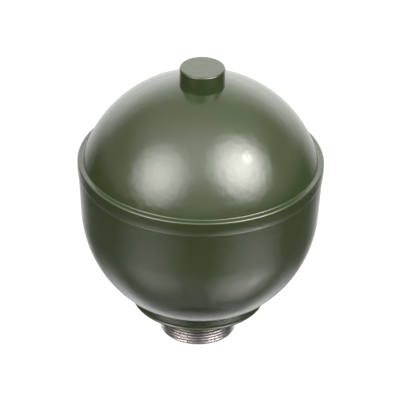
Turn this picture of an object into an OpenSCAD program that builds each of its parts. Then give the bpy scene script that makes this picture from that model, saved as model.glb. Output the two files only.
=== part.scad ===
// Diaphragm accumulator: a round two-shell pressure vessel on a threaded neck.
// Gas fills the dome above a rubber diaphragm, and oil enters below it
// through a damper valve in the neck. It stands on the end of its neck:
// the origin is the centre of that end face, and +Z runs up the axis.

/* [Shells] */
// Outside diameter of the rolled belt, the widest place
belt_d = 110; // [104:0.5:118]
// Height of the belt
belt_h = 6.6; // [6:0.1:9]
// How far the belt stands proud of the bowl's sphere
belt_proud = 1.45; // [1.2:0.05:2.2]
// How far the top of the bowl's skirt flares out beyond its sphere
skirt_flare = 0.95; // [0.4:0.05:1.2]
// Height of the bowl's skirt, from its sphere's centre to the belt
skirt_h = 17.9; // [14:0.1:24]
// How much larger the dome's radius is than the belt's
dome_bulge = 0.25; // [0:0.05:1]
// Width of the belt's lip, from its outside in to the dome
lip_w = 2.5; // [2.2:0.1:3.2]
// Radius of the lip's rolled outer edge
lip_round = 2; // [0.8:0.1:2]
// Radius of the belt's lower edge
belt_foot_round = 0.5; // [0.2:0.05:0.6]
// Wall of both shells
shell_wall = 3.5; // [3:0.1:4.5]
// Wall of the belt where it wraps the dome's foot
crimp_wall = 1.6; // [1.4:0.1:1.8]
// Clearance between pieces that are pressed, crimped or welded together
seat_gap = 0.05; // [0.02:0.01:0.1]

/* [Filler plug] */
// Diameter of the plug's round head
plug_d = 20; // [16:0.5:24]
// Height of the head above the top of the dome
plug_rise = 7.75; // [5:0.25:10]
// Radius of the head's upper edge
plug_round = 0.7; // [0.3:0.1:1.5]
// Diameter of the plug's shank
plug_shank_d = 10; // [8:0.5:11]
// Length of the shank below the head
plug_shank_l = 5.2; // [4.5:0.1:7]
// Diameter of the small centre mark on the head
plug_mark_d = 1.6; // [1:0.1:3]
// Thickness of the dome under the plug's head
plug_boss_t = 5; // [4:0.1:6]
// Width of the boss around the shank, inside the dome
plug_boss_w = 4.5; // [3:0.1:6]
// Width of the plug's sealing ring
plug_seal_w = 1.9; // [1.2:0.1:2.2]
// Height of the plug's sealing ring
plug_seal_h = 1.45; // [1:0.05:2]

/* [Neck] */
// Outside diameter of the thread on the neck
thread_d = 35; // [33:0.5:37]
// Length of the neck below the collar
stub_l = 17.4; // [15:0.1:22]
// Chamfer at the end of the thread
thread_chamfer = 1.2; // [0.8:0.1:1.6]
// Depth of the run-out groove behind the thread
relief_depth = 1.1; // [0.95:0.05:1.5]
// Width of the run-out groove below the seal seat
relief_w = 2.8; // [2:0.1:4]
// Diameter of the collar around the neck
collar_d = 61.2; // [57:0.2:65]
// Height of the collar's wall, from its edge up to the bowl
collar_wall = 4.7; // [3.5:0.1:6]
// Radius of the collar's lower edge
collar_round = 1.5; // [0.5:0.1:2]
// How far the collar laps the bowl outside its hole
collar_lap = 2.2; // [1.5:0.1:3]
// Diameter of the seal seat around the thread
seal_seat_d = 41.6; // [40:0.2:46]
// Depth of the seal seat in the collar
seal_seat_depth = 1.5; // [1:0.1:2]
// Diameter of the bore that holds the damper
damper_bore_d = 24; // [23.4:0.1:25]
// Width of the flared entry at the bore's end
bore_flare = 1.7; // [1:0.1:2.2]
// Depth of the flared entry
bore_flare_depth = 1.4; // [0.8:0.1:2]
// Width of the shoulder that the damper is pressed against
damper_shoulder = 1; // [0.6:0.1:1.2]
// Height of the staked ridge that holds the damper
stake_h = 0.7; // [0.4:0.1:0.9]
// How far the staked ridge stands into the bore
stake_in = 0.45; // [0.2:0.05:0.6]
// Diameter of the oil passage into the vessel
mouth_d = 16; // [12:0.5:19]
// Depth of the oil passage below the neck's inner face
mouth_l = 4; // [3:0.1:5]
// Radius of the oil passage's inner edge
mouth_round = 1; // [0.5:0.1:1.5]

/* [Damper] */
// How far the rivet's head lies inside the end of the neck
rivet_recess = 0.6; // [0.4:0.1:1.5]
// Diameter of the rivet's head
rivet_head_d = 10; // [9:0.2:11]
// Thickness of the rivet's head
rivet_head_t = 1.4; // [1:0.1:2]
// Chamfer around the rivet's head
rivet_chamfer = 0.35; // [0.2:0.05:0.6]
// Diameter of the rivet's shank
rivet_d = 3.9; // [3.4:0.1:4.4]
// Diameter of the bleed hole through the rivet
bleed_d = 1.7; // [1.2:0.1:2]
// Diameter of the rivet's closed end
rivet_end_d = 7.2; // [6.4:0.1:8]
// Thickness of the rivet's closed end
rivet_end_t = 1.2; // [0.8:0.1:1.6]
// Diameter of the washer under the rivet's closed end
washer_d = 9.2; // [8.4:0.1:10]
// Thickness of that washer
washer_t = 1; // [0.8:0.1:1.4]
// Thickness of one valve leaf
leaf_t = 0.3; // [0.25:0.05:0.4]
// Diameter of the two full outer leaves
outer_leaf_d = 21.2; // [20.9:0.1:21.3]
// Diameter of the two full inner leaves
inner_leaf_d = 17.2; // [16.6:0.1:17.4]
// Diameter of the third leaf of each stack
third_leaf_d = 14.4; // [13.6:0.1:15]
// Diameter of the fourth leaf of each stack
fourth_leaf_d = 12; // [11.4:0.1:13]
// Thickness of the damper's body
damper_t = 6; // [5:0.1:7]
// Diameter of the hub that the leaves are clamped on
hub_d = 8.4; // [8:0.1:9]
// Pitch circle of the passages under the inner leaves
inner_pitch_d = 13.2; // [12.8:0.1:13.4]
// Diameter of those passages
inner_port_d = 2.4; // [2:0.1:2.6]
// Pitch circle of the passages under the outer leaves
outer_pitch_d = 19.4; // [19.2:0.1:19.6]
// Diameter of those passages
outer_port_d = 1.3; // [1:0.05:1.5]
// Width of the land that each full leaf closes on
leaf_land_w = 0.7; // [0.5:0.05:0.8]
// Depth of the grooves on the body's two faces
groove_depth = 1; // [0.7:0.1:1.2]
// Width of the notches that feed the inner passages
notch_w = 2.2; // [1.6:0.1:2.8]
// Number of passages in each ring
port_count = 6; // [4:1:6]

/* [Diaphragm] */
// Thickness of the rubber
rubber_t = 2; // [1.5:0.1:2.6]
// Clearance between the rubber and the bowl
rubber_gap = 0.3; // [0.2:0.05:0.5]
// Height of the bead around the diaphragm's edge
bead_h = 2.8; // [2.2:0.1:3.4]
// Width of the bead
bead_w = 3.2; // [2.8:0.1:3.6]
// Width of the bowl's shoulder that carries the dome, outside the bead
shoulder_w = 1.2; // [0.9:0.1:1.4]
// Height of the dome's foot above the belt's lower edge
joint_lift = 0.5; // [0.3:0.1:0.8]
// Thickness of the clamp ring's flange
clamp_t = 1.2; // [0.9:0.1:1.6]
// Width of the clamp ring's leg
clamp_leg_w = 1.4; // [1:0.1:2]
// Length of the clamp ring's leg below its flange
clamp_leg_l = 1.6; // [1:0.1:1.8]
// Diameter of the closing button
button_d = 25; // [22:0.5:28]
// Thickness of the closing button
button_t = 2.5; // [2:0.1:3.5]
// Chamfer around the closing button's lower edge
button_chamfer = 0.6; // [0.3:0.1:1]
// Diameter of the button's stud
stud_d = 5; // [4:0.1:6]
// Length of the stud below its head
stud_l = 2.2; // [1.8:0.1:3]
// Diameter of the stud's head
stud_head_d = 9; // [7.5:0.1:10]
// Thickness of the stud's head
stud_head_t = 1.4; // [1:0.1:2]
// Clearance between the button and the rubber, and under the button
button_gap = 0.1; // [0.08:0.01:0.2]

/* [Hidden] */
$fn = 96;

// Colours of the finishes
paint_green = "#4b563e";
bare_steel = "#a9aaa6";
blued_steel = "#3d5a86";
rubber_black = "#1d1d1e";
zinc_grey = "#c6cbc9";

// Radii of the shells
belt_r = belt_d / 2;
bowl_r = belt_r - belt_proud;
bowl_in_r = bowl_r - shell_wall;
skirt_r = bowl_r + skirt_flare;
skirt_in_r = skirt_r - shell_wall;
dome_r = belt_r + dome_bulge;
dome_in_r = dome_r - shell_wall;
dome_foot_r = belt_r - crimp_wall;
ledge_r = belt_r - lip_w;

// Heights of the shells, from the end of the neck up
collar_r = collar_d / 2;
collar_z = stub_l;
bowl_z = collar_z + collar_wall + sqrt(pow(bowl_r, 2) - pow(collar_r, 2));
belt_low_z = bowl_z + skirt_h;
belt_top_z = belt_low_z + belt_h;
joint_z = belt_low_z + joint_lift;
dome_z = belt_top_z - sqrt(pow(dome_r, 2) - pow(ledge_r, 2));

// Filler plug
plug_r = plug_d / 2;
plug_shank_r = plug_shank_d / 2;
plug_top_z = dome_z + dome_r + plug_rise;
// The spot face lies just below the height where the head's edge meets the dome
spot_face_depth = 0.15;
plug_seat_z = dome_z + sqrt(pow(dome_r, 2) - pow(plug_r, 2)) - spot_face_depth;
plug_boss_r = plug_shank_r + plug_boss_w;
plug_mark_depth = 0.3;
// The sealing ring lies midway between the shank and the head's edge
plug_seal_r = (plug_shank_r + plug_r) / 2;

// Neck
thread_r = thread_d / 2;
relief_r = thread_r - relief_depth;
seal_seat_r = seal_seat_d / 2;
seal_seat_z = collar_z + seal_seat_depth;
relief_low_z = seal_seat_z - relief_w;
spigot_r = collar_r - collar_lap;
neck_top_z = bowl_z - sqrt(pow(bowl_in_r, 2) - pow(spigot_r, 2));
damper_bore_r = damper_bore_d / 2;
mouth_r = mouth_d / 2;

// Damper, from the rivet's head up
rivet_r = rivet_d / 2;
leaf_count = 4;
outer_leaves_z = rivet_recess + rivet_head_t;
damper_low_z = outer_leaves_z + leaf_count * leaf_t;
damper_top_z = damper_low_z + damper_t;
washer_z = damper_top_z + leaf_count * leaf_t;
rivet_end_z = washer_z + washer_t;
damper_r = damper_bore_r - seat_gap;
chamber_r = damper_bore_r - damper_shoulder;
outer_leaf_ds = [outer_leaf_d, outer_leaf_d, third_leaf_d, fourth_leaf_d];
inner_leaf_ds = [inner_leaf_d, inner_leaf_d, third_leaf_d, fourth_leaf_d];
outer_land_r = outer_leaf_d / 2;
inner_land_r = inner_leaf_d / 2;
// The outer leaves' land carries its ports in its middle
outer_land_in_r = outer_pitch_d / 2 - outer_port_d / 2 - leaf_land_w / 2;
outer_groove_r = outer_pitch_d / 2 + outer_port_d / 2 + leaf_land_w / 2;
inner_groove_in_r = inner_pitch_d / 2 - inner_port_d / 2 - leaf_land_w / 2;
inner_groove_r = inner_land_r - leaf_land_w;
port_turn = 360 / port_count;

// Diaphragm and its clamp
bead_bore_r = dome_foot_r - shoulder_w;
bead_r = bead_bore_r - seat_gap;
bead_in_r = bead_r - bead_w;
bead_top_z = joint_z - clamp_t;
bead_low_z = bead_top_z - bead_h;
clamp_leg_r = bead_in_r - seat_gap;
skirt_slope = (skirt_in_r - bowl_in_r) / skirt_h;
rubber_r = bowl_in_r - rubber_gap;
rubber_floor_z = neck_top_z + rubber_gap;
// The sheet joins the bead this far above the bead's foot
sheet_top_z = bead_top_z - clamp_leg_l - rubber_gap;
sheet_top_r = rubber_r + skirt_slope * (sheet_top_z - bowl_z);
button_r = button_d / 2;
button_z = neck_top_z + button_gap;
stud_z = button_z + button_t;
stud_head_z = stud_z + stud_l;
// Rubber covers the button and the head of its stud
pad_r = button_r + rubber_t;
pad_top_z = stud_z + rubber_t;
boss_r = stud_head_d / 2 + rubber_t;
boss_top_z = stud_head_z + stud_head_t + rubber_t;

// Cuts run this far past the face that they open
past = 1;
// Half of this square reaches beyond the whole part
reach = 4 * belt_d;

// A disc's section with its outer edges rounded
module rounded_disc_2d(r, low, high, low_round = 0, high_round = 0) {
    translate([0, low + low_round])
        square([r, high - low - low_round - high_round]);
    if (high_round > 0) {
        translate([0, high - high_round])
            square([r - high_round, high_round]);
        translate([r - high_round, high - high_round])
            intersection() {
                circle(high_round);
                square(high_round);
            }
    }
    if (low_round > 0) {
        translate([0, low])
            square([r - low_round, low_round]);
        translate([r - low_round, low + low_round])
            intersection() {
                circle(low_round);
                translate([0, -low_round])
                    square(low_round);
            }
    }
}

// Half of a round section, to the right of the axis and above a height
module half_disc_2d(r, z, low) {
    intersection() {
        translate([0, z])
            circle(r);
        translate([0, low])
            square([r + past, reach]);
    }
}

// Outside of the dome, grown by a gap where the belt wraps it
module dome_outside_2d(gap = 0) {
    intersection() {
        half_disc_2d(dome_r + gap, dome_z, joint_z);
        translate([0, joint_z])
            square([dome_foot_r + gap, reach]);
    }
}

// A bowl-shaped section: a sphere below its centre and a flared skirt above
module bowl_2d(r, low, high, slope) {
    intersection() {
        half_disc_2d(r, bowl_z, low);
        translate([0, low])
            square([r, bowl_z - low]);
    }
    polygon([
        [0, bowl_z],
        [r, bowl_z],
        [r + slope * (high - bowl_z), high],
        [0, high]
    ]);
}

// The closing button with its stud, grown by a gap for the rubber's pocket
module button_2d(gap = 0) {
    polygon([
        [0, button_z - gap],
        [button_r - button_chamfer + gap, button_z - gap],
        [button_r + gap, button_z + button_chamfer],
        [button_r + gap, stud_z + gap],
        [0, stud_z + gap]
    ]);
    translate([0, stud_z])
        square([stud_d / 2 + gap, stud_l + past]);
    translate([0, stud_head_z - gap])
        square([stud_head_d / 2 + gap, stud_head_t + 2 * gap]);
}

// Ring of round holes along the axis
module port_ring(pitch_d, hole_d, low, high, turn = 0) {
    for (i = [0 : port_count - 1])
        rotate(turn + i * port_turn)
            translate([pitch_d / 2, 0, low])
                cylinder(d = hole_d, h = high - low);
}

// Washer-shaped solid on the axis
module ring(outer_r, inner_r, low, height) {
    translate([0, 0, low])
        difference() {
            cylinder(r = outer_r, h = height);
            translate([0, 0, -past])
                cylinder(r = inner_r, h = height + 2 * past);
        }
}

// Gas-side dome, pressed from plate, with a boss for the filler plug
module upper_shell() {
    color(paint_green)
        rotate_extrude()
            difference() {
                dome_outside_2d();
                difference() {
                    half_disc_2d(dome_in_r, dome_z, joint_z - past);
                    translate([0, plug_seat_z - plug_boss_t])
                        square([plug_boss_r, reach]);
                }
                translate([0, plug_seat_z])
                    square([plug_r + seat_gap, reach]);
                translate([0, plug_seat_z - reach / 2])
                    square([plug_shank_r + seat_gap, reach]);
            }
}

// Oil-side bowl, with the belt that is rolled over the dome's foot
module lower_shell() {
    color(paint_green)
        rotate_extrude()
            difference() {
                union() {
                    bowl_2d(bowl_r, 0, belt_low_z, skirt_flare / skirt_h);
                    rounded_disc_2d(belt_r, belt_low_z, belt_top_z, belt_foot_round, lip_round);
                }
                bowl_2d(bowl_in_r, 0, joint_z, skirt_slope);
                translate([0, bead_low_z])
                    square([bead_bore_r, joint_z - bead_low_z]);
                dome_outside_2d(seat_gap);
                translate([0, -past])
                    square([spigot_r + seat_gap, bowl_z]);
            }
}

// Turned neck: a threaded stub, a collar under the bowl and a spigot in its hole
module neck() {
    color(bare_steel)
        rotate_extrude()
            difference() {
                union() {
                    difference() {
                        rounded_disc_2d(collar_r, collar_z, collar_z + collar_wall + past, collar_round);
                        translate([0, bowl_z])
                            circle(bowl_r + seat_gap);
                    }
                    translate([0, collar_z])
                        square([spigot_r, neck_top_z - collar_z]);
                    polygon([
                        [0, 0],
                        [thread_r - thread_chamfer, 0],
                        [thread_r, thread_chamfer],
                        [thread_r, relief_low_z],
                        [relief_r, relief_low_z + relief_depth],
                        [relief_r, collar_z + past],
                        [0, collar_z + past]
                    ]);
                }
                translate([relief_r, collar_z - past])
                    square([seal_seat_r - relief_r, seal_seat_depth + past]);
                neck_bore_2d();
            }
}

// The way through the neck: flared entry, damper bore, chamber and oil passage
module neck_bore_2d() {
    stake_z = damper_low_z + groove_depth;
    polygon([
        [0, -past],
        [damper_bore_r + bore_flare, -past],
        [damper_bore_r + bore_flare, 0],
        [damper_bore_r, bore_flare_depth],
        [damper_bore_r, stake_z - stake_h - stake_in],
        [damper_bore_r - stake_in, stake_z - stake_h],
        [damper_bore_r - stake_in, stake_z],
        [damper_bore_r, stake_z],
        [damper_bore_r, damper_top_z],
        [chamber_r, damper_top_z],
        [chamber_r, neck_top_z - mouth_l],
        [mouth_r, neck_top_z - mouth_l],
        [mouth_r, neck_top_z + past],
        [0, neck_top_z + past]
    ]);
    translate([mouth_r, neck_top_z - mouth_round])
        difference() {
            square([mouth_round, mouth_round + past]);
            translate([mouth_round, 0])
                circle(mouth_round);
        }
}

// Plug that closes the gas filling hole
module filler_plug() {
    color(paint_green)
        rotate_extrude()
            difference() {
                union() {
                    rounded_disc_2d(plug_r, plug_seat_z, plug_top_z, 0, plug_round);
                    translate([0, plug_seat_z - plug_shank_l])
                        square([plug_shank_r, plug_shank_l]);
                }
                translate([plug_seal_r - plug_seal_w / 2, plug_seat_z - past])
                    square([plug_seal_w, plug_seal_h + past]);
                polygon([
                    [0, plug_top_z - plug_mark_depth],
                    [plug_mark_d / 2, plug_top_z],
                    [plug_mark_d / 2, plug_top_z + past],
                    [0, plug_top_z + past]
                ]);
            }
}

// Sealing ring in the groove under the plug's head
module plug_seal() {
    color(rubber_black)
        ring(
            plug_seal_r + plug_seal_w / 2 - seat_gap,
            plug_seal_r - plug_seal_w / 2 + seat_gap,
            plug_seat_z, plug_seal_h
        );
}

// Angle-section ring that the dome's foot presses on the diaphragm's bead
module clamp_ring() {
    color(bare_steel)
        rotate_extrude() {
            translate([clamp_leg_r - clamp_leg_w, bead_top_z])
                square([bead_r - clamp_leg_r + clamp_leg_w, clamp_t]);
            translate([clamp_leg_r - clamp_leg_w, bead_top_z - clamp_leg_l])
                square([clamp_leg_w, clamp_leg_l]);
        }
}

// Rubber diaphragm as the gas charge leaves it, lying down in the bowl
module diaphragm() {
    color(rubber_black)
        rotate_extrude()
            difference() {
                union() {
                    difference() {
                        bowl_2d(rubber_r, rubber_floor_z, sheet_top_z, skirt_slope);
                        bowl_2d(rubber_r - rubber_t, rubber_floor_z + rubber_t, sheet_top_z + past, skirt_slope);
                    }
                    translate([bead_in_r, bead_low_z])
                        square([bead_w, bead_h]);
                    translate([0, rubber_floor_z])
                        square([pad_r, pad_top_z - rubber_floor_z]);
                    translate([0, rubber_floor_z])
                        square([boss_r, boss_top_z - rubber_floor_z]);
                }
                button_2d(button_gap);
            }
}

// Metal button that closes the oil passage when the oil is out
module closing_button() {
    color(zinc_grey)
        rotate_extrude()
            button_2d();
}

// Damper body, with two rings of ports that open under opposite leaf stacks
module damper_body() {
    color(bare_steel)
        difference() {
            translate([0, 0, damper_low_z])
                cylinder(r = damper_r, h = damper_t);
            // Rim of the lower face, down to the staked ridge
            ring(damper_r + past, outer_groove_r, damper_low_z - past, groove_depth + past);
            // Groove of the lower face, which feeds the inner ports
            ring(outer_land_in_r, hub_d / 2, damper_low_z - past, groove_depth + past);
            // Notches from that groove to the rim, between the outer ports
            for (i = [0 : port_count - 1])
                rotate((i + 0.5) * port_turn)
                    translate([hub_d / 2, -notch_w / 2, damper_low_z - past])
                        cube([damper_r, notch_w, groove_depth + past]);
            // Groove of the upper face, closed by the inner leaves
            ring(inner_groove_r, inner_groove_in_r, damper_top_z - groove_depth, groove_depth + past);
            // Groove outside the inner leaves, which feeds the outer ports
            ring(outer_groove_r, inner_land_r, damper_top_z - groove_depth, groove_depth + past);
            port_ring(inner_pitch_d, inner_port_d, damper_low_z - past, damper_top_z + past, port_turn / 2);
            port_ring(outer_pitch_d, outer_port_d, damper_low_z - past, damper_top_z + past);
            translate([0, 0, damper_low_z - past])
                cylinder(r = rivet_r + seat_gap, h = damper_t + 2 * past);
        }
}

// Hollow rivet that holds the leaves, with the bleed hole through it
module bleed_rivet() {
    head_r = rivet_head_d / 2;
    color(zinc_grey)
        rotate_extrude()
            difference() {
                union() {
                    polygon([
                        [0, rivet_recess],
                        [head_r - rivet_chamfer, rivet_recess],
                        [head_r, rivet_recess + rivet_chamfer],
                        [head_r, outer_leaves_z],
                        [0, outer_leaves_z]
                    ]);
                    translate([0, outer_leaves_z])
                        square([rivet_r, rivet_end_z - outer_leaves_z]);
                    rounded_disc_2d(rivet_end_d / 2, rivet_end_z, rivet_end_z + rivet_end_t, 0, rivet_end_t / 2);
                }
                square([bleed_d / 2, reach]);
            }
}

// Washer between the inner leaves and the rivet's closed end
module rivet_washer() {
    color(bare_steel)
        ring(washer_d / 2, rivet_r + seat_gap, washer_z, washer_t);
}

// One leaf of the stack below the damper body, counted from the body out
module outer_leaf(number) {
    color(blued_steel)
        ring(outer_leaf_ds[number - 1] / 2, rivet_r + seat_gap, damper_low_z - number * leaf_t, leaf_t);
}

// One leaf of the stack above the damper body, counted from the body out
module inner_leaf(number) {
    color(blued_steel)
        ring(inner_leaf_ds[number - 1] / 2, rivet_r + seat_gap, damper_top_z + (number - 1) * leaf_t, leaf_t);
}

upper_shell();
lower_shell();
neck();
filler_plug();
plug_seal();
clamp_ring();
diaphragm();
closing_button();
damper_body();
bleed_rivet();
rivet_washer();
outer_leaf(1);  // outer_leaf_1
outer_leaf(2);  // outer_leaf_2
outer_leaf(3);  // outer_leaf_3
outer_leaf(4);  // outer_leaf_4
inner_leaf(1);  // inner_leaf_1
inner_leaf(2);  // inner_leaf_2
inner_leaf(3);  // inner_leaf_3
inner_leaf(4);  // inner_leaf_4
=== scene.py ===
# %% [markdown]
# # A diaphragm accumulator, spun from drawn sections
#
# The object is a round pressure vessel: two pressed steel shells, rolled together at a belt and
# painted olive green, with a filler plug on top and a threaded neck below. Nearly every piece of
# it is round about one upright axis, so one idea carries the lesson: draw half of a section with
# edges, then spin it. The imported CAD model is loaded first. It gives the sizes and is never moved.

# %% Load the frame
import bpy
import math
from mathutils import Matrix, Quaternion, Vector


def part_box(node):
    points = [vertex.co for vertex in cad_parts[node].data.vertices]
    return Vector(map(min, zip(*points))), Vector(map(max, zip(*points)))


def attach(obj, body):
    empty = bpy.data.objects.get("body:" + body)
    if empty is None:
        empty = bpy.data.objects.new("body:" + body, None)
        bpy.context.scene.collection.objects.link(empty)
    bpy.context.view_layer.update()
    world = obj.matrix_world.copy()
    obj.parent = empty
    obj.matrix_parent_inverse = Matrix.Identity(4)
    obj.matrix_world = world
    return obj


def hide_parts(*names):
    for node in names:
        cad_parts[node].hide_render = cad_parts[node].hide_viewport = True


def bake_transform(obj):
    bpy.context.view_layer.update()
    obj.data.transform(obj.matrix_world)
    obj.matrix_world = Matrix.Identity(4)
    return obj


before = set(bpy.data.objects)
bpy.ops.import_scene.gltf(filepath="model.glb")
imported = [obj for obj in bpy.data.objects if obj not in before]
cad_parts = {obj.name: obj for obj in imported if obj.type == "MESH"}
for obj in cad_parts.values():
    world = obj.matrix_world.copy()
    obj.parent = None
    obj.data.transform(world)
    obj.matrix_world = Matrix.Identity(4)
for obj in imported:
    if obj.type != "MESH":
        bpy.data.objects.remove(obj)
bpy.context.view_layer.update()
bpy.ops.object.select_all(action="DESELECT")
MM = 0.001

# %% [markdown]
# ## The camera
#
# The photograph was taken from far off with a long lens, somewhat above the object: the round
# edges are flat ellipses, and the near and far halves hardly differ in size. So the camera has a
# 216 mm lens on a 36 mm sensor, over a metre away. It is turned by about a degree about its own
# line of sight, because the object leans that much to the right in the picture.

# %% Camera
CAMERA_LENS = 216
SENSOR_WIDTH = 36
CAMERA_DISTANCE = 1.082
CAMERA_RISE = math.radians(32.1)
CAMERA_ROLL = math.radians(1.07)
AIM = Vector((0, 0, 68.05 * MM))

towards_camera = Vector((0, -math.cos(CAMERA_RISE), math.sin(CAMERA_RISE)))
bpy.ops.object.camera_add(location=AIM + CAMERA_DISTANCE * towards_camera)
camera = bpy.context.object
camera.name = "camera"
camera.rotation_mode = "QUATERNION"
camera.rotation_quaternion = towards_camera.to_track_quat("Z", "Y") @ Quaternion((0, 0, 1), CAMERA_ROLL)
camera.data.lens = CAMERA_LENS
camera.data.sensor_width = SENSOR_WIDTH
bpy.context.scene.camera = camera
print("camera at", [round(c, 3) for c in camera.location])

# %% [markdown]
# ## A pen for sections
#
# A turned or pressed piece is easiest to draw as half of its section: one point, pulled along the
# outline by extruding it, and swung round a centre wherever the outline is an arc. Blender has no
# single point to start from, so a tiny plane is merged to its centre. Heights and radii are in mm.
# Spinning the finished line a full turn about the upright axis makes the solid, and the doubles at
# the seam and on the axis are merged before the normals are made to point outwards.

# %% Pen and lathe
MERGE = 0.001 * MM
pen = {"r": 0.0, "z": 0.0}


def start_section(name, r, z):
    bpy.ops.object.select_all(action="DESELECT")
    bpy.ops.mesh.primitive_plane_add(size=MM, location=(r * MM, 0, z * MM))
    piece = bpy.context.object
    piece.name = name
    piece.data.name = name
    bpy.ops.object.transform_apply(location=True, rotation=True, scale=True)
    bpy.ops.object.mode_set(mode="EDIT")
    bpy.ops.mesh.select_mode(type="VERT")
    bpy.ops.mesh.select_all(action="SELECT")
    bpy.ops.mesh.merge(type="CENTER")
    pen.update(r=r, z=z)
    return piece


def line_to(r, z):
    move = ((r - pen["r"]) * MM, 0, (z - pen["z"]) * MM)
    bpy.ops.mesh.extrude_vertices_move(TRANSFORM_OT_translate={"value": move})
    pen.update(r=r, z=z)


def arc_to(r, z, centre_r, centre_z, steps):
    start = math.atan2(pen["z"] - centre_z, pen["r"] - centre_r)
    end = math.atan2(z - centre_z, r - centre_r)
    sweep = (end - start + math.pi) % math.tau - math.pi
    bpy.ops.mesh.spin(steps=steps, angle=sweep, center=(centre_r * MM, 0, centre_z * MM), axis=(0, 1, 0))
    pen.update(r=r, z=z)


def lathe(steps):
    bpy.ops.mesh.select_all(action="SELECT")
    bpy.ops.mesh.spin(steps=steps, angle=math.tau, center=(0, 0, 0), axis=(0, 0, 1))
    bpy.ops.mesh.select_all(action="SELECT")
    bpy.ops.mesh.remove_doubles(threshold=MERGE)
    bpy.ops.mesh.normals_make_consistent(inside=False)
    bpy.ops.object.mode_set(mode="OBJECT")


# %% [markdown]
# ## Even shading
#
# Paint over a rounded edge shows one unbroken reflection, so the facets of each arc are shaded
# smooth and only real corners stay sharp. A Weighted Normal modifier lets the large faces decide
# the normals, so flat and spherical surfaces keep clean reflections right up to their rounded rims.

# %% Smooth a finished piece
CORNER_ANGLE = math.radians(32)


def pick(piece):
    bpy.ops.object.select_all(action="DESELECT")
    piece.select_set(True)
    bpy.context.view_layer.objects.active = piece


def smooth(piece):
    pick(piece)
    bpy.ops.object.shade_smooth_by_angle(angle=CORNER_ANGLE)
    bpy.ops.object.modifier_add(type="WEIGHTED_NORMAL")
    piece.modifiers[-1].keep_sharp = True
    bpy.ops.object.modifier_apply(modifier=piece.modifiers[-1].name)
    print(piece.name, len(piece.data.polygons), "faces")


# %% [markdown]
# ## The dome
#
# The upper shell is pressed from plate: a sphere outside, another inside, and a straight foot that
# stands in the belt. It could be a UV sphere cut by a plane, but then the wall, the foot and the
# boss for the plug would be added one by one. Drawn as a section they come in one go. The heights
# of the sphere's centre and foot are measured from the CAD node's box.

# %% Dome
SHELL_STEPS = 192
SEAT_GAP = 0.05
DOME_R = 55.25
SHELL_WALL = 3.5
DOME_FOOT_R = 53.4
PLUG_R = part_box("filler_plug")[1].x / MM
PLUG_SHANK_R = 5
PLUG_BOSS_R = 9.5
PLUG_BOSS_T = 5
SPOT_FACE_DEPTH = 0.15

dome_foot_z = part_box("upper_shell")[0].z / MM
dome_top_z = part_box("upper_shell")[1].z / MM
plug_hole_r = PLUG_R + SEAT_GAP
shank_hole_r = PLUG_SHANK_R + SEAT_GAP


def rise(sphere_r, r):
    """Height above a sphere's centre at a radius from its axis."""
    return math.sqrt(sphere_r**2 - r**2)


dome_z = dome_top_z - rise(DOME_R, plug_hole_r)
plug_seat_z = dome_z + rise(DOME_R, PLUG_R) - SPOT_FACE_DEPTH
boss_low_z = plug_seat_z - PLUG_BOSS_T
dome_in_r = DOME_R - SHELL_WALL
foot_in_r = rise(dome_in_r, dome_foot_z - dome_z)

dome = start_section("dome", shank_hole_r, plug_seat_z)
line_to(plug_hole_r, plug_seat_z)
line_to(plug_hole_r, dome_top_z)
arc_to(DOME_FOOT_R, dome_z + rise(DOME_R, DOME_FOOT_R), 0, dome_z, steps=48)
line_to(DOME_FOOT_R, dome_foot_z)
line_to(foot_in_r, dome_foot_z)
arc_to(PLUG_BOSS_R, dome_z + rise(dome_in_r, PLUG_BOSS_R), 0, dome_z, steps=32)
line_to(PLUG_BOSS_R, boss_low_z)
line_to(shank_hole_r, boss_low_z)
line_to(shank_hole_r, plug_seat_z)
lathe(SHELL_STEPS)
smooth(dome)
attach(dome, "vessel")
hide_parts("upper_shell")

# %% [markdown]
# ## The bowl and its belt
#
# The lower shell is a deeper pressing. Its rim is thicker, and is rolled over the dome's foot: that
# is the belt, with a soft outer edge above and a small step below. The two rounded edges catch the
# light as the thin bright lines round the middle of the object, so they get many steps.

# %% Bowl
BOWL_R = 53.55
SKIRT_TOP_R = 54.5
SKIRT_H = 17.9
BELT_H = 6.6
LIP_ROUND = 0.8
PAINT_FILLET = 0.6
BELT_FOOT_IN = 0.35
BELT_FOOT_H = 3.2
FOOT_BEAD_R = 0.2
BEAD_BORE_R = 52.2
BEAD_ROOM_H = 4
SPIGOT_HOLE_R = 28.45

belt_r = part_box("lower_shell")[1].x / MM
belt_top_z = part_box("lower_shell")[1].z / MM
belt_low_z = belt_top_z - BELT_H
bowl_z = belt_low_z - SKIRT_H
bowl_in_r = BOWL_R - SHELL_WALL
bead_low_z = dome_foot_z - BEAD_ROOM_H
skirt_slope = (SKIRT_TOP_R - BOWL_R) / SKIRT_H
turn = math.atan2(SKIRT_H, SKIRT_TOP_R) - math.acos(BOWL_R / math.hypot(SKIRT_TOP_R, SKIRT_H))
bead_tip_z = belt_low_z + FOOT_BEAD_R
foot_rise = BELT_FOOT_H - FOOT_BEAD_R
belt_bow = (BELT_FOOT_IN**2 + foot_rise**2) / (2 * BELT_FOOT_IN)
wrap_r = DOME_R + SEAT_GAP
wrap_foot_r = DOME_FOOT_R + SEAT_GAP
paint_r = DOME_R + SEAT_GAP / 5
fillet_z = belt_top_z + PAINT_FILLET
fillet_r = rise(paint_r + PAINT_FILLET, fillet_z - dome_z)
tip = paint_r / (paint_r + PAINT_FILLET)
tip_r = fillet_r * tip
tip_z = dome_z + (fillet_z - dome_z) * tip

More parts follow.
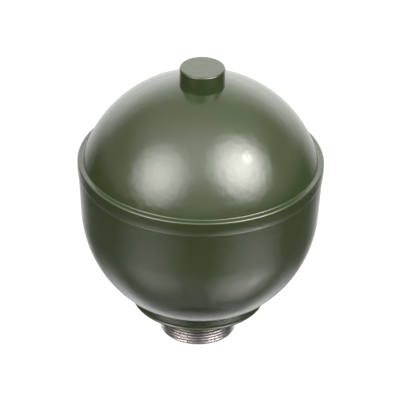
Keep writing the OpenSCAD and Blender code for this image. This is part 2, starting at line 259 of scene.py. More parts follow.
bowl = start_section("bowl", SPIGOT_HOLE_R, bowl_z - rise(BOWL_R, SPIGOT_HOLE_R))
arc_to(BOWL_R * math.cos(turn), bowl_z + BOWL_R * math.sin(turn), 0, bowl_z, steps=48)
line_to(SKIRT_TOP_R, belt_low_z - FOOT_BEAD_R)
arc_to(SKIRT_TOP_R + FOOT_BEAD_R, belt_low_z, SKIRT_TOP_R, belt_low_z, steps=5)
arc_to(SKIRT_TOP_R, bead_tip_z, SKIRT_TOP_R, belt_low_z, steps=5)
line_to(belt_r - BELT_FOOT_IN, bead_tip_z)
arc_to(belt_r, belt_low_z + BELT_FOOT_H, belt_r - belt_bow, belt_low_z + BELT_FOOT_H, steps=8)
line_to(belt_r, belt_top_z - LIP_ROUND)
arc_to(belt_r - LIP_ROUND, belt_top_z, belt_r - LIP_ROUND, belt_top_z - LIP_ROUND, steps=12)
line_to(fillet_r, belt_top_z)
arc_to(tip_r, tip_z, fillet_r, fillet_z, steps=8)
line_to(rise(wrap_r, belt_top_z - dome_z), belt_top_z)
arc_to(wrap_foot_r, dome_z + rise(wrap_r, wrap_foot_r), 0, dome_z, steps=4)
line_to(wrap_foot_r, dome_foot_z)
line_to(BEAD_BORE_R, dome_foot_z)
line_to(BEAD_BORE_R, bead_low_z)
line_to(bowl_in_r + skirt_slope * (bead_low_z - bowl_z), bead_low_z)
line_to(bowl_in_r, bowl_z)
arc_to(SPIGOT_HOLE_R, bowl_z - rise(bowl_in_r, SPIGOT_HOLE_R), 0, bowl_z, steps=32)
line_to(SPIGOT_HOLE_R, bowl_z - rise(BOWL_R, SPIGOT_HOLE_R))
lathe(SHELL_STEPS)
smooth(bowl)
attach(bowl, "vessel")
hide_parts("lower_shell")

# %% [markdown]
# ## The filler plug
#
# Gas is let in through the top of the dome, and a plug with a round head closes the hole for good.
# The head was turned: its upper edge is rounded by the tool and the paint, and the lathe's centre
# left a small dimple in the middle. A groove under the head holds a rubber ring.

# %% Filler plug
PLUG_STEPS = 128
PLUG_ROUND = 0.75
PLUG_MARK_R = 0.8
PLUG_MARK_DEPTH = 0.3
SEAL_GROOVE_IN_R = 6.55
SEAL_GROOVE_OUT_R = 8.45
SEAL_GROOVE_DEPTH = 1.45

plug_low_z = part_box("filler_plug")[0].z / MM
plug_top_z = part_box("filler_plug")[1].z / MM

plug = start_section("filler_plug_head", 0, plug_top_z - PLUG_MARK_DEPTH)
line_to(PLUG_MARK_R, plug_top_z)
line_to(PLUG_R - PLUG_ROUND, plug_top_z)
arc_to(PLUG_R, plug_top_z - PLUG_ROUND, PLUG_R - PLUG_ROUND, plug_top_z - PLUG_ROUND, steps=10)
line_to(PLUG_R, plug_seat_z)
line_to(SEAL_GROOVE_OUT_R, plug_seat_z)
line_to(SEAL_GROOVE_OUT_R, plug_seat_z + SEAL_GROOVE_DEPTH)
line_to(SEAL_GROOVE_IN_R, plug_seat_z + SEAL_GROOVE_DEPTH)
line_to(SEAL_GROOVE_IN_R, plug_seat_z)
line_to(PLUG_SHANK_R, plug_seat_z)
line_to(PLUG_SHANK_R, plug_low_z)
line_to(0, plug_low_z)
lathe(PLUG_STEPS)
smooth(plug)
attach(plug, "vessel")
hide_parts("filler_plug")

# %% [markdown]
# ## The neck
#
# The neck is one turned piece: a threaded stub, a collar under the bowl, a spigot in the bowl's
# hole, and a bore that holds the damper. The collar has a rounded lip and flares up to the bowl, so
# its lip is a thin light line in the picture. The section is drawn with the stub at the thread's
# root, a hair smaller, because the thread's ridge is wound on as a separate step.

# %% Turn the neck
NECK_STEPS = 160
THREAD_R = 17.5
THREAD_PITCH = 1.5
THREAD_CHAMFER = 0.8
THREAD_DEPTH = 0.46 * THREAD_PITCH
ROOT_SINK = 0.04
RELIEF_R = 16.4
RELIEF_W = 2.8
SEAL_SEAT_R = 20.8
SEAL_SEAT_DEPTH = 1.5
COLLAR_Z = 17.4
COLLAR_ROUND = 0.45
LIP_TURN = math.radians(38)
FLARE_R = 2.2
SPIGOT_R = 28.4
MOUTH_R = 8
MOUTH_L = 4
MOUTH_ROUND = 1
CHAMBER_R = 11
DAMPER_BORE_R = 12
BORE_FLARE = 1.7
BORE_FLARE_DEPTH = 1.4
STAKE_IN = 0.45
STAKE_H = 0.7
STAKE_TOP_Z = 4.2

collar_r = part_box("neck")[1].x / MM
neck_top_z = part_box("neck")[1].z / MM
damper_top_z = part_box("damper_body")[1].z / MM
bowl_seat_r = BOWL_R + SEAT_GAP
seal_seat_z = COLLAR_Z + SEAL_SEAT_DEPTH
relief_low_z = seal_seat_z - RELIEF_W
relief_high_z = relief_low_z + THREAD_R - RELIEF_R
root_r = THREAD_R - THREAD_DEPTH
stub_r = root_r - ROOT_SINK
lip_r = collar_r - COLLAR_ROUND
lip_z = COLLAR_Z + COLLAR_ROUND
flare_r = lip_r + (COLLAR_ROUND + FLARE_R) * math.cos(LIP_TURN)
flare_z = lip_z + (COLLAR_ROUND + FLARE_R) * math.sin(LIP_TURN)
wall_r = flare_r - FLARE_R

neck = start_section("neck_body", DAMPER_BORE_R + BORE_FLARE, 0)
line_to(THREAD_R - THREAD_CHAMFER, 0)
line_to(stub_r, stub_r - THREAD_R + THREAD_CHAMFER)
line_to(stub_r, relief_high_z)
line_to(RELIEF_R, relief_high_z)
line_to(RELIEF_R, seal_seat_z)
line_to(SEAL_SEAT_R, seal_seat_z)
line_to(SEAL_SEAT_R, COLLAR_Z)
line_to(lip_r, COLLAR_Z)
arc_to(collar_r, lip_z, lip_r, lip_z, steps=6)
arc_to(
    lip_r + COLLAR_ROUND * math.cos(LIP_TURN), lip_z + COLLAR_ROUND * math.sin(LIP_TURN),
    lip_r, lip_z, steps=6,
)
arc_to(wall_r, flare_z, flare_r, flare_z, steps=10)
line_to(wall_r, bowl_z - rise(bowl_seat_r, wall_r))
arc_to(SPIGOT_R, bowl_z - rise(bowl_seat_r, SPIGOT_R), 0, bowl_z, steps=4)
line_to(SPIGOT_R, neck_top_z)
line_to(MOUTH_R + MOUTH_ROUND, neck_top_z)
arc_to(MOUTH_R, neck_top_z - MOUTH_ROUND, MOUTH_R + MOUTH_ROUND, neck_top_z - MOUTH_ROUND, steps=6)
line_to(MOUTH_R, neck_top_z - MOUTH_L)
line_to(CHAMBER_R, neck_top_z - MOUTH_L)
line_to(CHAMBER_R, damper_top_z)
line_to(DAMPER_BORE_R, damper_top_z)
line_to(DAMPER_BORE_R, STAKE_TOP_Z)
line_to(DAMPER_BORE_R - STAKE_IN, STAKE_TOP_Z)
line_to(DAMPER_BORE_R - STAKE_IN, STAKE_TOP_Z - STAKE_H)
line_to(DAMPER_BORE_R, STAKE_TOP_Z - STAKE_H - STAKE_IN)
line_to(DAMPER_BORE_R, BORE_FLARE_DEPTH)
line_to(DAMPER_BORE_R + BORE_FLARE, 0)
lathe(NECK_STEPS)
print("neck turned:", len(neck.data.polygons), "faces, collar radius", round(collar_r, 2))

# %% [markdown]
# ## The thread
#
# The stub has a fine metric thread, 35 mm across with a pitch of 1.5 mm. One tooth is drawn with
# the pen, a little deeper than the root so that it bites into the stub, and a Screw modifier winds
# it up for more turns than are needed. Its two ends are closed. A turned sleeve with the chamfer
# on its end is the stock: the ridge is cut back to it, and what is left is united with the neck.

# %% Wind and fit the thread
THREAD_STEPS = 96
CREST_FLAT = 0.37 * THREAD_PITCH
ROOT_FLAT = 0.1 * THREAD_PITCH
BITE = 2 * ROOT_SINK
SLEEVE_IN_R = 15.2
PAST = 1
TURNS_BELOW = 2.1
TURNS_ABOVE = 2

flank = (THREAD_PITCH - CREST_FLAT - ROOT_FLAT) / 2
flank_to_base = flank * (THREAD_DEPTH + BITE) / THREAD_DEPTH
base_r = root_r - BITE
tooth_z = -TURNS_BELOW * THREAD_PITCH
turns = math.ceil((relief_high_z - tooth_z) / THREAD_PITCH) + TURNS_ABOVE

thread = start_section("thread", base_r, tooth_z)
line_to(THREAD_R, tooth_z + flank_to_base)
line_to(THREAD_R, tooth_z + flank_to_base + CREST_FLAT)
line_to(base_r, tooth_z + 2 * flank_to_base + CREST_FLAT)
line_to(base_r, tooth_z)
bpy.ops.mesh.select_all(action="SELECT")
bpy.ops.mesh.remove_doubles(threshold=MERGE)
bpy.ops.object.mode_set(mode="OBJECT")
bpy.ops.object.modifier_add(type="SCREW")
winding = thread.modifiers[-1]
winding.axis = "Z"
winding.screw_offset = THREAD_PITCH * MM
winding.iterations = turns
winding.steps = THREAD_STEPS
winding.render_steps = THREAD_STEPS
bpy.ops.object.modifier_apply(modifier=winding.name)
bpy.ops.object.mode_set(mode="EDIT")
bpy.ops.mesh.select_all(action="SELECT")
bpy.ops.mesh.remove_doubles(threshold=MERGE)
bpy.ops.mesh.select_all(action="SELECT")
bpy.ops.mesh.fill_holes(sides=4)
bpy.ops.mesh.select_all(action="SELECT")
bpy.ops.mesh.normals_make_consistent(inside=False)
bpy.ops.object.mode_set(mode="OBJECT")
print("thread wound:", len(thread.data.polygons), "faces,", turns, "turns before trimming")

sleeve = start_section("sleeve", SLEEVE_IN_R, -PAST)
line_to(THREAD_R - THREAD_CHAMFER - PAST, -PAST)
line_to(THREAD_R + PAST, THREAD_CHAMFER + PAST)
line_to(THREAD_R + PAST, relief_low_z - PAST)
line_to(RELIEF_R - PAST, relief_high_z + PAST)
line_to(SLEEVE_IN_R, relief_high_z + PAST)
line_to(SLEEVE_IN_R, -PAST)
lathe(NECK_STEPS)


def combine(piece, other, operation):
    pick(piece)
    bpy.ops.object.modifier_add(type="BOOLEAN")
    cut = piece.modifiers[-1]
    cut.object = other
    cut.operation = operation
    cut.solver = "MANIFOLD"
    bpy.ops.object.modifier_apply(modifier=cut.name)
    bpy.data.objects.remove(other)


combine(thread, sleeve, "INTERSECT")
trimmed_r = thread.dimensions.x / 2 / MM
print("thread trimmed:", len(thread.data.polygons), "faces, radius", round(trimmed_r, 2))
combine(neck, thread, "UNION")
smooth(neck)
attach(neck, "vessel")
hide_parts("neck")

# %% [markdown]
# ## The bleed rivet
#
# Inside the end of the neck sits the damper: two stacks of thin spring-steel leaves on a drilled
# body, held by a hollow rivet. Oil seeps through the rivet's small hole and bends the leaves when
# it is in a hurry. The rivet's head is the pale button in the middle of the stub's end.

# %% Bleed rivet
RIVET_STEPS = 64
BLEED_R = 0.85
RIVET_R = 1.95
RIVET_EDGE = 0.35
RIVET_END_R = 3.6
RIVET_END_ROUND = 0.6

rivet_low_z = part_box("bleed_rivet")[0].z / MM
rivet_top_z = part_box("bleed_rivet")[1].z / MM
rivet_head_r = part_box("bleed_rivet")[1].x / MM
leaves_low_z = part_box("outer_leaf_4")[0].z / MM
washer_top_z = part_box("rivet_washer")[1].z / MM

rivet = start_section("bleed_rivet_head", BLEED_R, rivet_low_z)
line_to(rivet_head_r - RIVET_EDGE, rivet_low_z)
arc_to(
    rivet_head_r, rivet_low_z + RIVET_EDGE,
    rivet_head_r - RIVET_EDGE, rivet_low_z + RIVET_EDGE, steps=5,
)
line_to(rivet_head_r, leaves_low_z)
line_to(RIVET_R, leaves_low_z)
line_to(RIVET_R, washer_top_z)
line_to(RIVET_END_R, washer_top_z)
line_to(RIVET_END_R, rivet_top_z - RIVET_END_ROUND)
arc_to(
    RIVET_END_R - RIVET_END_ROUND, rivet_top_z,
    RIVET_END_R - RIVET_END_ROUND, rivet_top_z - RIVET_END_ROUND, steps=6,
)
line_to(BLEED_R, rivet_top_z)
line_to(BLEED_R, rivet_low_z)
lathe(RIVET_STEPS)
smooth(rivet)
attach(rivet, "vessel")
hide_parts("bleed_rivet")

# %% [markdown]
# ## The diaphragm
#
# A cup of black rubber parts the gas from the oil. With no oil in the vessel the gas lays it down
# along the bowl, and a metal button in its floor closes the oil passage. When oil comes in, the
# floor rises while the bead stays clamped in the belt. So the mesh is drawn as a section like the
# rest, with many steps up its wall.

# %% Diaphragm
RUBBER_T = 2
RUBBER_GAP = 0.3
BUTTON_GAP = 0.1
BEAD_W = 3.2
BUTTON_EDGE = 0.6
STUD_R = 2.5
STUD_L = 2.2
STUD_HEAD_R = 4.5
BUTTON_T = 2.5
WALL_ROWS = 6

rubber_r = bowl_in_r - RUBBER_GAP
rubber_in_r = rubber_r - RUBBER_T
floor_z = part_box("diaphragm")[0].z / MM
bead_top_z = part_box("diaphragm")[1].z / MM
bead_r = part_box("diaphragm")[1].x / MM
bead_in_r = bead_r - BEAD_W
sheet_top_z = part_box("clamp_ring")[0].z / MM - RUBBER_GAP
button_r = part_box("closing_button")[1].x / MM
button_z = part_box("closing_button")[0].z / MM
stud_top_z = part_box("closing_button")[1].z / MM
stud_z = button_z + BUTTON_T
pocket_r = button_r + BUTTON_GAP
pocket_z = stud_z + BUTTON_GAP
stud_head_z = stud_z + STUD_L - BUTTON_GAP
boss_top_z = stud_top_z + RUBBER_T
pad_r = button_r + RUBBER_T
pad_top_z = stud_z + RUBBER_T
pocket_edge_z = button_z + BUTTON_EDGE
mouth_of_pocket_r = pocket_r - (pocket_edge_z - floor_z)


def skirt_r(at_axis_height_r, z):
    return at_axis_height_r + skirt_slope * (z - bowl_z)


diaphragm = start_section("rubber_diaphragm", 0, stud_top_z + BUTTON_GAP)
line_to(STUD_HEAD_R + BUTTON_GAP, stud_top_z + BUTTON_GAP)
line_to(STUD_HEAD_R + BUTTON_GAP, stud_head_z)
line_to(STUD_R + BUTTON_GAP, stud_head_z)
line_to(STUD_R + BUTTON_GAP, pocket_z)
line_to(pocket_r, pocket_z)
line_to(pocket_r, pocket_edge_z)
line_to(mouth_of_pocket_r, floor_z)
line_to(rise(rubber_r, bowl_z - floor_z), floor_z)
arc_to(rubber_r, bowl_z, 0, bowl_z, steps=40)
for row in range(1, WALL_ROWS + 1):
    z = bowl_z + (bead_low_z - bowl_z) * row / WALL_ROWS
    line_to(skirt_r(rubber_r, z), z)
line_to(bead_r, bead_low_z)
line_to(bead_r, bead_top_z)
line_to(bead_in_r, bead_top_z)
line_to(bead_in_r, sheet_top_z)
line_to(skirt_r(rubber_in_r, sheet_top_z), sheet_top_z)
for row in range(1, WALL_ROWS + 1):
    z = sheet_top_z + (bowl_z - sheet_top_z) * row / WALL_ROWS
    line_to(skirt_r(rubber_in_r, z), z)
arc_to(rise(rubber_in_r, bowl_z - floor_z - RUBBER_T), floor_z + RUBBER_T, 0, bowl_z, steps=40)
line_to(pad_r, floor_z + RUBBER_T)
line_to(pad_r, pad_top_z)
line_to(STUD_HEAD_R + RUBBER_T, pad_top_z)
line_to(STUD_HEAD_R + RUBBER_T, boss_top_z)
line_to(0, boss_top_z)
lathe(PLUG_STEPS)
smooth(diaphragm)
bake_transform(diaphragm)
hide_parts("diaphragm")

# %% [markdown]
# ## Tools for the finishes
#
# Colours are written as hex values, and Blender's shaders need them in linear light, so one function
# turns them. One more adds a node to a material with its settings, its plain values and its links,
# which keeps each finish short enough to read.


# %% Colour and node helpers
def linear(hex_colour):
    channels = [int(hex_colour[i:i + 2], 16) / 255 for i in (1, 3, 5)]
    return [c / 12.92 if c <= 0.04045 else ((c + 0.055) / 1.055) ** 2.4 for c in channels] + [1]


def add_node(tree, kind, settings=None, values=None, links=None):
    node = tree.nodes.new(kind)
    for name, value in (settings or {}).items():
        setattr(node, name, value)
    for socket, value in (values or {}).items():
        node.inputs[socket].default_value = value
    for socket, source in (links or {}).items():
        tree.links.new(source, node.inputs[socket])
    return node


def new_finish(name):
    material = bpy.data.materials.new(name)
    material.use_nodes = True
    print("finish:", name)
    return material, material.node_tree, material.node_tree.nodes["Principled BSDF"]


def per_metre(size_mm):
    """Texture scale at which one feature of a pattern is this large."""
    return 1 / (size_mm * MM)


# %% [markdown]
# ## Olive green gloss enamel
#
# The shells were sprayed with a thick gloss enamel after assembly. It is an olive green, dark in
# itself: most of what the eye sees is the studio mirrored in it. The sprayed film dried with a
# slight orange peel, which breaks up the edges of the highlights. Real ripples are about a
# millimetre apart and a few thousandths deep. Here they are some three times wider, and deeper, so
# that a picture this small shows them. A broad, faint drift of colour keeps it from looking plastic.

# %% Green enamel
PEEL_SIZE = 3.2
PEEL_DEPTH = 0.08 * MM
GLOSS_ROUGHNESS = 0.16
PAINT_IOR = 1.5
DRIFT_SIZE = 45
MIX_A, MIX_B = 6, 7  # the two colour sockets of a Mix node

enamel, tree, paint = new_finish("olive_gloss_enamel")
place = add_node(tree, "ShaderNodeTexCoord").outputs["Object"]
drift = add_node(
    tree, "ShaderNodeTexNoise",
    values={"Scale": per_metre(DRIFT_SIZE), "Detail": 2},
    links={"Vector": place},
)
tone = add_node(
    tree, "ShaderNodeMix", {"data_type": "RGBA"},
    values={MIX_A: linear("#1d2511"), MIX_B: linear("#212a14")},
    links={"Factor": drift.outputs["Fac"]},
)
peel = add_node(
    tree, "ShaderNodeTexNoise",
    values={"Scale": per_metre(PEEL_SIZE), "Detail": 2, "Roughness": 0.4},
    links={"Vector": place},
)
ripple = add_node(
    tree, "ShaderNodeBump",
    values={"Strength": 1, "Distance": PEEL_DEPTH},
    links={"Height": peel.outputs["Fac"]},
)
tree.links.new(tone.outputs["Result"], paint.inputs["Base Color"])
tree.links.new(ripple.outputs["Normal"], paint.inputs["Normal"])
paint.inputs["Roughness"].default_value = GLOSS_ROUGHNESS
paint.inputs["IOR"].default_value = PAINT_IOR

# %% [markdown]
# ## Turned steel
#
# The neck was left bare inside and on its thread, so that oil and paint don't mix. A lathe tool
# leaves fine rings about the axis. On a face they lie at one radius and on a cylinder at one
# height, so the pattern is a noise that reads only radius and height: it is the same all the way
# round. Real rings are a tenth of a millimetre apart. Here they are three times that, to show.
# The last turns of the thread, under the collar, are darkened with painted shade where the collar's
# shadow falls.


# %% Turned steel
RING_SIZE = 0.3
RING_DEPTH = 0.004 * MM
COLLAR_SHADE_LOW = 3 * MM
COLLAR_SHADE_HIGH = 11 * MM
COLLAR_SHADE_REACH = 2 * MM


def ring_place(tree):
    """Radius and height of a point, for patterns that run round the axis."""
    place = add_node(tree, "ShaderNodeTexCoord").outputs["Object"]
    flat = add_node(
        tree, "ShaderNodeVectorMath", {"operation": "MULTIPLY"},
        values={1: (1, 1, 0)}, links={0: place},
    )
    radius = add_node(
        tree, "ShaderNodeVectorMath", {"operation": "LENGTH"}, links={0: flat.outputs["Vector"]}
    )
    height = add_node(tree, "ShaderNodeSeparateXYZ", links={"Vector": place})
    both = add_node(
        tree, "ShaderNodeCombineXYZ",
        links={"X": radius.outputs["Value"], "Y": height.outputs["Z"]},
    )
    return place, radius.outputs["Value"], both.outputs["Vector"]


steel, tree, metal = new_finish("turned_bare_steel")
place, radius, rings_at = ring_place(tree)
rings = add_node(
    tree, "ShaderNodeTexNoise",
    values={"Scale": per_metre(RING_SIZE), "Detail": 3},
    links={"Vector": rings_at},
)
tone = add_node(
    tree, "ShaderNodeMix", {"data_type": "RGBA"},
    values={MIX_A: linear("#b4aeac"), MIX_B: linear("#d8d2d0")},
    links={"Factor": rings.outputs["Fac"]},
)
grooves = add_node(
    tree, "ShaderNodeBump",
    values={"Strength": 1, "Distance": RING_DEPTH},
    links={"Height": rings.outputs["Fac"]},
)
# Painted shade: the thread's colour darkens upwards, towards the collar that shadows it.
upward = add_node(tree, "ShaderNodeSeparateXYZ", links={"Vector": place})
on_thread = add_node(
    tree, "ShaderNodeMath", {"operation": "COMPARE"},
    values={1: THREAD_R * MM, 2: COLLAR_SHADE_REACH}, links={0: radius},
)
collar_shade = add_node(
    tree, "ShaderNodeMapRange", {"interpolation_type": "SMOOTHSTEP"},
    values={"From Min": COLLAR_SHADE_LOW, "From Max": COLLAR_SHADE_HIGH},
    links={"Value": upward.outputs["Z"], "To Max": on_thread.outputs["Value"]},
)
shaded_thread = add_node(
    tree, "ShaderNodeMix", {"data_type": "RGBA"},
    values={MIX_B: linear("#2e2a29")},
    links={"Factor": collar_shade.outputs["Result"], MIX_A: tone.outputs["Result"]},
)
tree.links.new(shaded_thread.outputs["Result"], metal.inputs["Base Color"])
tree.links.new(grooves.outputs["Normal"], metal.inputs["Normal"])
metal.inputs["Metallic"].default_value = 1
metal.inputs["Roughness"].default_value = 0.22

# %% [markdown]
# ## Stained seal seat
#
# The recess round the thread, where the sealing ring beds, is bare too, but the paint's edge and
# the heat of welding have stained it brown and black in blotches. Two noises of different sizes
# mix a dark and a clean steel, and the stained parts are duller.

# %% Stained steel
BLOTCH_SIZE = 3.5
SPECK_SIZE = 0.7
PIT_DEPTH = 0.02 * MM

stained, tree, metal = new_finish("stained_bare_steel")
place = add_node(tree, "ShaderNodeTexCoord").outputs["Object"]
blotch = add_node(
    tree, "ShaderNodeTexNoise",
    values={"Scale": per_metre(BLOTCH_SIZE), "Detail": 4, "Roughness": 0.6},
    links={"Vector": place},
)
speck = add_node(
    tree, "ShaderNodeTexNoise",
    values={"Scale": per_metre(SPECK_SIZE), "Detail": 2},
    links={"Vector": place},
)
stain = add_node(
    tree, "ShaderNodeMapRange",
    values={"From Min": 0.38, "From Max": 0.62},
    links={"Value": blotch.outputs["Fac"]},
)
tone = add_node(
    tree, "ShaderNodeMix", {"data_type": "RGBA"},
    values={MIX_A: linear("#2f2b2a"), MIX_B: linear("#8a8280")},
    links={"Factor": stain.outputs["Result"]},
)
dull = add_node(
    tree, "ShaderNodeMapRange",
    values={"To Min": 0.6, "To Max": 0.35},
    links={"Value": stain.outputs["Result"]},
)
pits = add_node(
    tree, "ShaderNodeBump",
    values={"Strength": 1, "Distance": PIT_DEPTH},
    links={"Height": speck.outputs["Fac"]},
)
tree.links.new(tone.outputs["Result"], metal.inputs["Base Color"])
tree.links.new(dull.outputs["Result"], metal.inputs["Roughness"])
tree.links.new(pits.outputs["Normal"], metal.inputs["Normal"])
metal.inputs["Metallic"].default_value = 1

# %% [markdown]
# ## Blued spring steel
#
# The valve leaves are stamped from spring steel that was tempered until a film of oxide turned it
# blue. The film's thickness follows the heat, so the colour runs from teal near the rivet to a
# greyer blue at the rim. A colour ramp over the radius draws that, and the strip's rolled grain is
# a fine noise.

# %% Blued steel
LEAF_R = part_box("outer_leaf_1")[1].x
TEAL_R = 0.4 * LEAF_R
BLUE_AT = 0.55
STRIP_GRAIN = 2 * RING_SIZE

blued, tree, metal = new_finish("blued_spring_steel")
place, radius = ring_place(tree)[:2]
grain = add_node(
    tree, "ShaderNodeTexNoise",
    values={"Scale": per_metre(STRIP_GRAIN), "Detail": 2},
    links={"Vector": place},
)
outward = add_node(
    tree, "ShaderNodeMapRange",
    values={"From Min": TEAL_R, "From Max": LEAF_R},
    links={"Value": radius},
)
temper = add_node(tree, "ShaderNodeValToRGB", links={"Fac": outward.outputs["Result"]})
temper.color_ramp.elements[0].color = linear("#5d8f9c")
temper.color_ramp.elements[1].color = linear("#44617f")
middle = temper.color_ramp.elements.new(BLUE_AT)
middle.color = linear("#4d7d9c")
grooves = add_node(
    tree, "ShaderNodeBump",
    values={"Strength": 1, "Distance": RING_DEPTH},
    links={"Height": grain.outputs["Fac"]},
)
tree.links.new(temper.outputs["Color"], metal.inputs["Base Color"])
tree.links.new(grooves.outputs["Normal"], metal.inputs["Normal"])
metal.inputs["Metallic"].default_value = 1
metal.inputs["Roughness"].default_value = 0.38

# %% [markdown]
# ## Zinc plate
#
# The rivet and the closing button are zinc plated: a pale, slightly milky metal, with the cloudy
# grain that the bath leaves. A noise of about a millimetre clouds both its tone and its gloss.

# %% Zinc plate
CLOUD_SIZE = 1.2

zinc, tree, metal = new_finish("zinc_plated_steel")
place = add_node(tree, "ShaderNodeTexCoord").outputs["Object"]
cloud = add_node(
    tree, "ShaderNodeTexNoise",
    values={"Scale": per_metre(CLOUD_SIZE), "Detail": 3},
    links={"Vector": place},
)
tone = add_node(
    tree, "ShaderNodeMix", {"data_type": "RGBA"},
    values={MIX_A: linear("#c4c5c1"), MIX_B: linear("#e2e2de")},
    links={"Factor": cloud.outputs["Fac"]},
)
dull = add_node(
    tree, "ShaderNodeMapRange",
    values={"To Min": 0.32, "To Max": 0.5},
    links={"Value": cloud.outputs["Fac"]},
)
tree.links.new(tone.outputs["Result"], metal.inputs["Base Color"])
tree.links.new(dull.outputs["Result"], metal.inputs["Roughness"])
metal.inputs["Metallic"].default_value = 1

# %% [markdown]
# ## Black rubber
#
# The diaphragm and the plug's ring are moulded rubber: almost black, with a matt skin that took
# the fine grain of the mould.

# %% Rubber
GRAIN_SIZE = 0.4
GRAIN_DEPTH = 0.01 * MM

rubber, tree, skin = new_finish("moulded_black_rubber")
place = add_node(tree, "ShaderNodeTexCoord").outputs["Object"]
grain = add_node(
    tree, "ShaderNodeTexNoise",
    values={"Scale": per_metre(GRAIN_SIZE), "Detail": 2},
    links={"Vector": place},
)
tone = add_node(
    tree, "ShaderNodeMix", {"data_type": "RGBA"},
    values={MIX_A: linear("#171717"), MIX_B: linear("#222223")},
    links={"Factor": grain.outputs["Fac"]},
)
dimples = add_node(
    tree, "ShaderNodeBump",
    values={"Strength": 1, "Distance": GRAIN_DEPTH},
    links={"Height": grain.outputs["Fac"]},
)
tree.links.new(tone.outputs["Result"], skin.inputs["Base Color"])
tree.links.new(dimples.outputs["Normal"], skin.inputs["Normal"])
skin.inputs["Roughness"].default_value = 0.62

# %% [markdown]
# ## Dress the pieces
#
# Most pieces have one finish. The neck has three: its faces are picked by place, so that the collar
# is painted, the recess for the seal is stained, and all the rest is bare turned steel. The pieces
# that stay as the CAD model made them get their finish in the slot that they already have.

# %% Give each piece its finish
new_finishes = {dome: enamel, bowl: enamel, plug: enamel, rivet: zinc, diaphragm: rubber}
for piece, finish in new_finishes.items():
    piece.data.materials.clear()
    piece.data.materials.append(finish)

STEEL_SLOT, PAINT_SLOT, STAIN_SLOT = range(3)
PICK_MARGIN = 0.1
COLLAR_H = 4
neck.data.materials.clear()
for finish in (steel, enamel, stained):
    neck.data.materials.append(finish)
for face in neck.data.polygons:
    r = face.center.xy.length / MM
    z = face.center.z / MM
    if r > SEAL_SEAT_R + PICK_MARGIN and z < COLLAR_Z + COLLAR_H:
        face.material_index = PAINT_SLOT
    elif r > RELIEF_R + PICK_MARGIN and relief_high_z + PICK_MARGIN < z < seal_seat_z + PICK_MARGIN:
        face.material_index = STAIN_SLOT
    else:
        face.material_index = STEEL_SLOT

leaves = [f"{side}_leaf_{n}" for side in ("outer", "inner") for n in range(1, 5)]
node_finish = {
    "plug_seal": rubber, "clamp_ring": steel, "closing_button": zinc,
    "damper_body": steel, "rivet_washer": steel, **{leaf: blued for leaf in leaves},
}
for name, finish in node_finish.items():
    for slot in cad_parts[name].material_slots:
        slot.material = finish
print("dressed", len(node_finish), "CAD nodes,", len(new_finishes), "new pieces and the neck")

# %% [markdown]
# ## The studio: what the camera sees
#
# The photograph is a catalogue picture: the ground is pure white and has no shadow. A large white
# ball round the whole scene gives that from every side. Only the camera sees it, so it neither
# lights the object nor shows up in the paint.

# %% White surround
SURROUND_R = 8

bpy.ops.object.select_all(action="DESELECT")
bpy.ops.mesh.primitive_uv_sphere_add(segments=32, ring_count=16, radius=SURROUND_R)
surround = bpy.context.object
surround.name = "white_surround"
white, tree, surface = new_finish("white_ground")
surface.inputs["Base Color"].default_value = (0, 0, 0, 1)
surface.inputs["Emission Color"].default_value = (1, 1, 1, 1)
surface.inputs["Emission Strength"].default_value = 1
surround.data.materials.append(white)
for ray in ("diffuse", "glossy", "transmission", "volume_scatter", "shadow"):
    setattr(surround, "visible_" + ray, False)

# %% [markdown]
# ## The glass plate
#
# The lower half of the bowl mirrors both lamps a second time, low down and weakly, and its lowest
# rim shines as if white paper lay below. Such pictures are taken on a sheet of glass, well above
# the paper, which is also why there is no shadow. This plate is the floor. It lets most light
# through and mirrors about a fifth near the object, less farther out. The camera looks through it.

# %% Glass plate
PLATE_SIZE = 4
PLATE_DROP = 0.3 * MM
PLATE_ROUGHNESS = 0.12
NEAR_MIRROR, NEAR_R = 0.22, 90 * MM
FAR_MIRROR, FAR_R = 0.07, 190 * MM

bpy.ops.object.select_all(action="DESELECT")
bpy.ops.mesh.primitive_plane_add(size=PLATE_SIZE, location=(0, 0, -PLATE_DROP))
plate = bpy.context.object
plate.name = "glass_plate"
plate.visible_camera = False
glass, tree, plain = new_finish("plate_glass")
tree.nodes.remove(plain)
through = add_node(tree, "ShaderNodeBsdfTransparent")
mirror = add_node(tree, "ShaderNodeBsdfGlossy", values={"Roughness": PLATE_ROUGHNESS})
away = add_node(
    tree, "ShaderNodeVectorMath", {"operation": "LENGTH"},
    links={0: add_node(tree, "ShaderNodeTexCoord").outputs["Object"]},
)
shine = add_node(
    tree, "ShaderNodeMapRange", {"interpolation_type": "SMOOTHSTEP"},
    values={"From Min": NEAR_R, "From Max": FAR_R, "To Min": NEAR_MIRROR, "To Max": FAR_MIRROR},
    links={"Value": away.outputs["Value"]},
)
sheet = add_node(
    tree, "ShaderNodeMixShader",
    links={0: shine.outputs["Result"], 1: through.outputs["BSDF"], 2: mirror.outputs["BSDF"]},
)
tree.links.new(sheet.outputs["Shader"], tree.nodes["Material Output"].inputs["Surface"])
plate.data.materials.append(glass)

# %% [markdown]
# ## The lamps
#
# The two round glows on the dome are large diffusers, one at each side of the camera. A diffuser is
# brightest in its middle and fades towards its rim, so each is a glowing disc that a spherical
# gradient makes more and more see-through. Near the right one the bulb shows as a small hot spot: a
# round area lamp in front of the glow.

# %% Softboxes and bulb
TARGET = Vector((0, 0, 80 * MM))
LAMP_COLOUR = linear("#fffcf9")
LAMP_DISTANCE = 0.9
DISC_CORNERS = 64
BULB_R = 0.06
BULB_DISTANCE = 0.85
BULB_RADIANCE = 9


def lamp_way(azimuth, elevation):
    """Direction from the object to a lamp. Azimuth 0 is the camera's side, positive to its right."""
    a, e = math.radians(azimuth), math.radians(elevation)
    return Vector((math.sin(a) * math.cos(e), -math.cos(a) * math.cos(e), math.sin(e)))


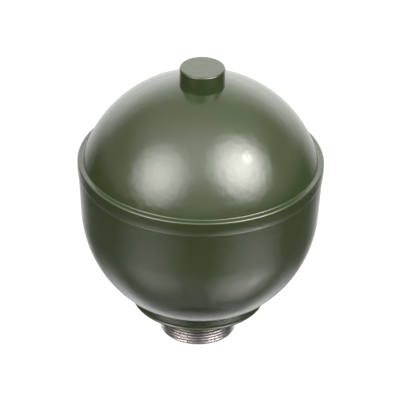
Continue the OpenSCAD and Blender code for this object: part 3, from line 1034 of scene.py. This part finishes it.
def softbox(name, way, radius, radiance):
    """Glowing disc that faces the object and fades towards its rim."""
    bpy.ops.object.select_all(action="DESELECT")
    bpy.ops.mesh.primitive_circle_add(
        vertices=DISC_CORNERS, radius=radius, fill_type="NGON",
        location=TARGET + LAMP_DISTANCE * way, rotation=way.to_track_quat("Z", "Y").to_euler(),
    )
    disc = bpy.context.object
    disc.name = name
    disc.visible_camera = False
    cloth, tree, surface = new_finish(name + "_cloth")
    surface.inputs["Base Color"].default_value = (0, 0, 0, 1)
    surface.inputs["Emission Color"].default_value = LAMP_COLOUR
    surface.inputs["Emission Strength"].default_value = radiance
    scaled = add_node(
        tree, "ShaderNodeVectorMath", {"operation": "SCALE"}, values={"Scale": 1 / radius},
        links={0: add_node(tree, "ShaderNodeTexCoord").outputs["Object"]},
    )
    ball = add_node(
        tree, "ShaderNodeTexGradient", {"gradient_type": "SPHERICAL"},
        links={"Vector": scaled.outputs["Vector"]},
    )
    fade = add_node(
        tree, "ShaderNodeMapRange", {"interpolation_type": "SMOOTHSTEP"},
        links={"Value": ball.outputs["Fac"]},
    )
    tree.links.new(fade.outputs["Result"], surface.inputs["Alpha"])
    disc.data.materials.append(cloth)


softbox("right_softbox", lamp_way(azimuth=52, elevation=42.3), radius=0.625, radiance=19.5)
softbox("left_softbox", lamp_way(azimuth=-47, elevation=35), radius=0.6, radiance=12.5)

bulb_way = lamp_way(azimuth=66, elevation=45)
bpy.ops.object.light_add(
    type="AREA", location=TARGET + BULB_DISTANCE * bulb_way,
    rotation=bulb_way.to_track_quat("Z", "Y").to_euler(),
)
bulb = bpy.context.object
bulb.name = "bulb"
bulb.data.shape = "DISK"
bulb.data.size = 2 * BULB_R
bulb.data.energy = 4 * math.pi * BULB_R**2 * BULB_RADIANCE
bulb.data.color = LAMP_COLOUR[:3]
print("bulb energy", round(bulb.data.energy, 2))

# %% [markdown]
# ## The room
#
# The rest of the room is the world's background, drawn by direction. White paper lies below the
# glass and rises behind the object to a bright wall, which shines in the top of the plug and in the
# rims of the shells. The sides and the front are dim, and the ceiling is lighter. Each of these is a
# patch that fades along the depth and along the height: two smooth steps, multiplied.

# %% Room
room_patches = {
    "wall": {"depth": (0.5, 0.95), "height": (-0.7, 0.3), "foot": 0.3, "glow": 2.15},
    "paper": {"depth": (0.1, 0.6), "height": (-0.65, -0.85), "foot": 0.0, "glow": 1.7},
    "ground": {"depth": (-0.1, 0.3), "height": (-0.9, -0.98), "foot": 0.0, "glow": 0.5},
    "sides": {"depth": (-1.0, 0.0), "height": (-0.1, 0.2), "foot": 0.1, "glow": 0.6},
    "front": {"depth": (0.3, -0.6), "height": (-0.1, 0.4), "foot": 0.0, "glow": 1.5},
    "ceiling": {"depth": (1.2, -0.8), "height": (0.4, 0.8), "foot": 0.0, "glow": 2.0},
}

world = bpy.data.worlds.new("studio")
bpy.context.scene.world = world
world.use_nodes = True
tree = world.node_tree
look = add_node(
    tree, "ShaderNodeSeparateXYZ",
    links={"Vector": add_node(tree, "ShaderNodeTexCoord").outputs["Generated"]},
)
room = tree.nodes["Background"]
room.inputs["Color"].default_value = (1, 1, 1, 1)
glow = add_node(tree, "ShaderNodeValue").outputs["Value"]
glow.default_value = 0
for patch in room_patches.values():
    depth = add_node(
        tree, "ShaderNodeMapRange", {"interpolation_type": "SMOOTHSTEP"},
        values={"From Min": patch["depth"][0], "From Max": patch["depth"][1], "To Max": patch["glow"]},
        links={"Value": look.outputs["Y"]},
    )
    height = add_node(
        tree, "ShaderNodeMapRange", {"interpolation_type": "SMOOTHSTEP"},
        values={"From Min": patch["height"][0], "From Max": patch["height"][1], "To Min": patch["foot"]},
        links={"Value": look.outputs["Z"]},
    )
    glow = add_node(
        tree, "ShaderNodeMath", {"operation": "MULTIPLY_ADD"},
        links={0: depth.outputs["Result"], 1: height.outputs["Result"], 2: glow},
    ).outputs["Value"]
tree.links.new(glow, room.inputs["Strength"])
bpy.context.scene.view_settings.view_transform = "Standard"
print("room patches:", ", ".join(room_patches))
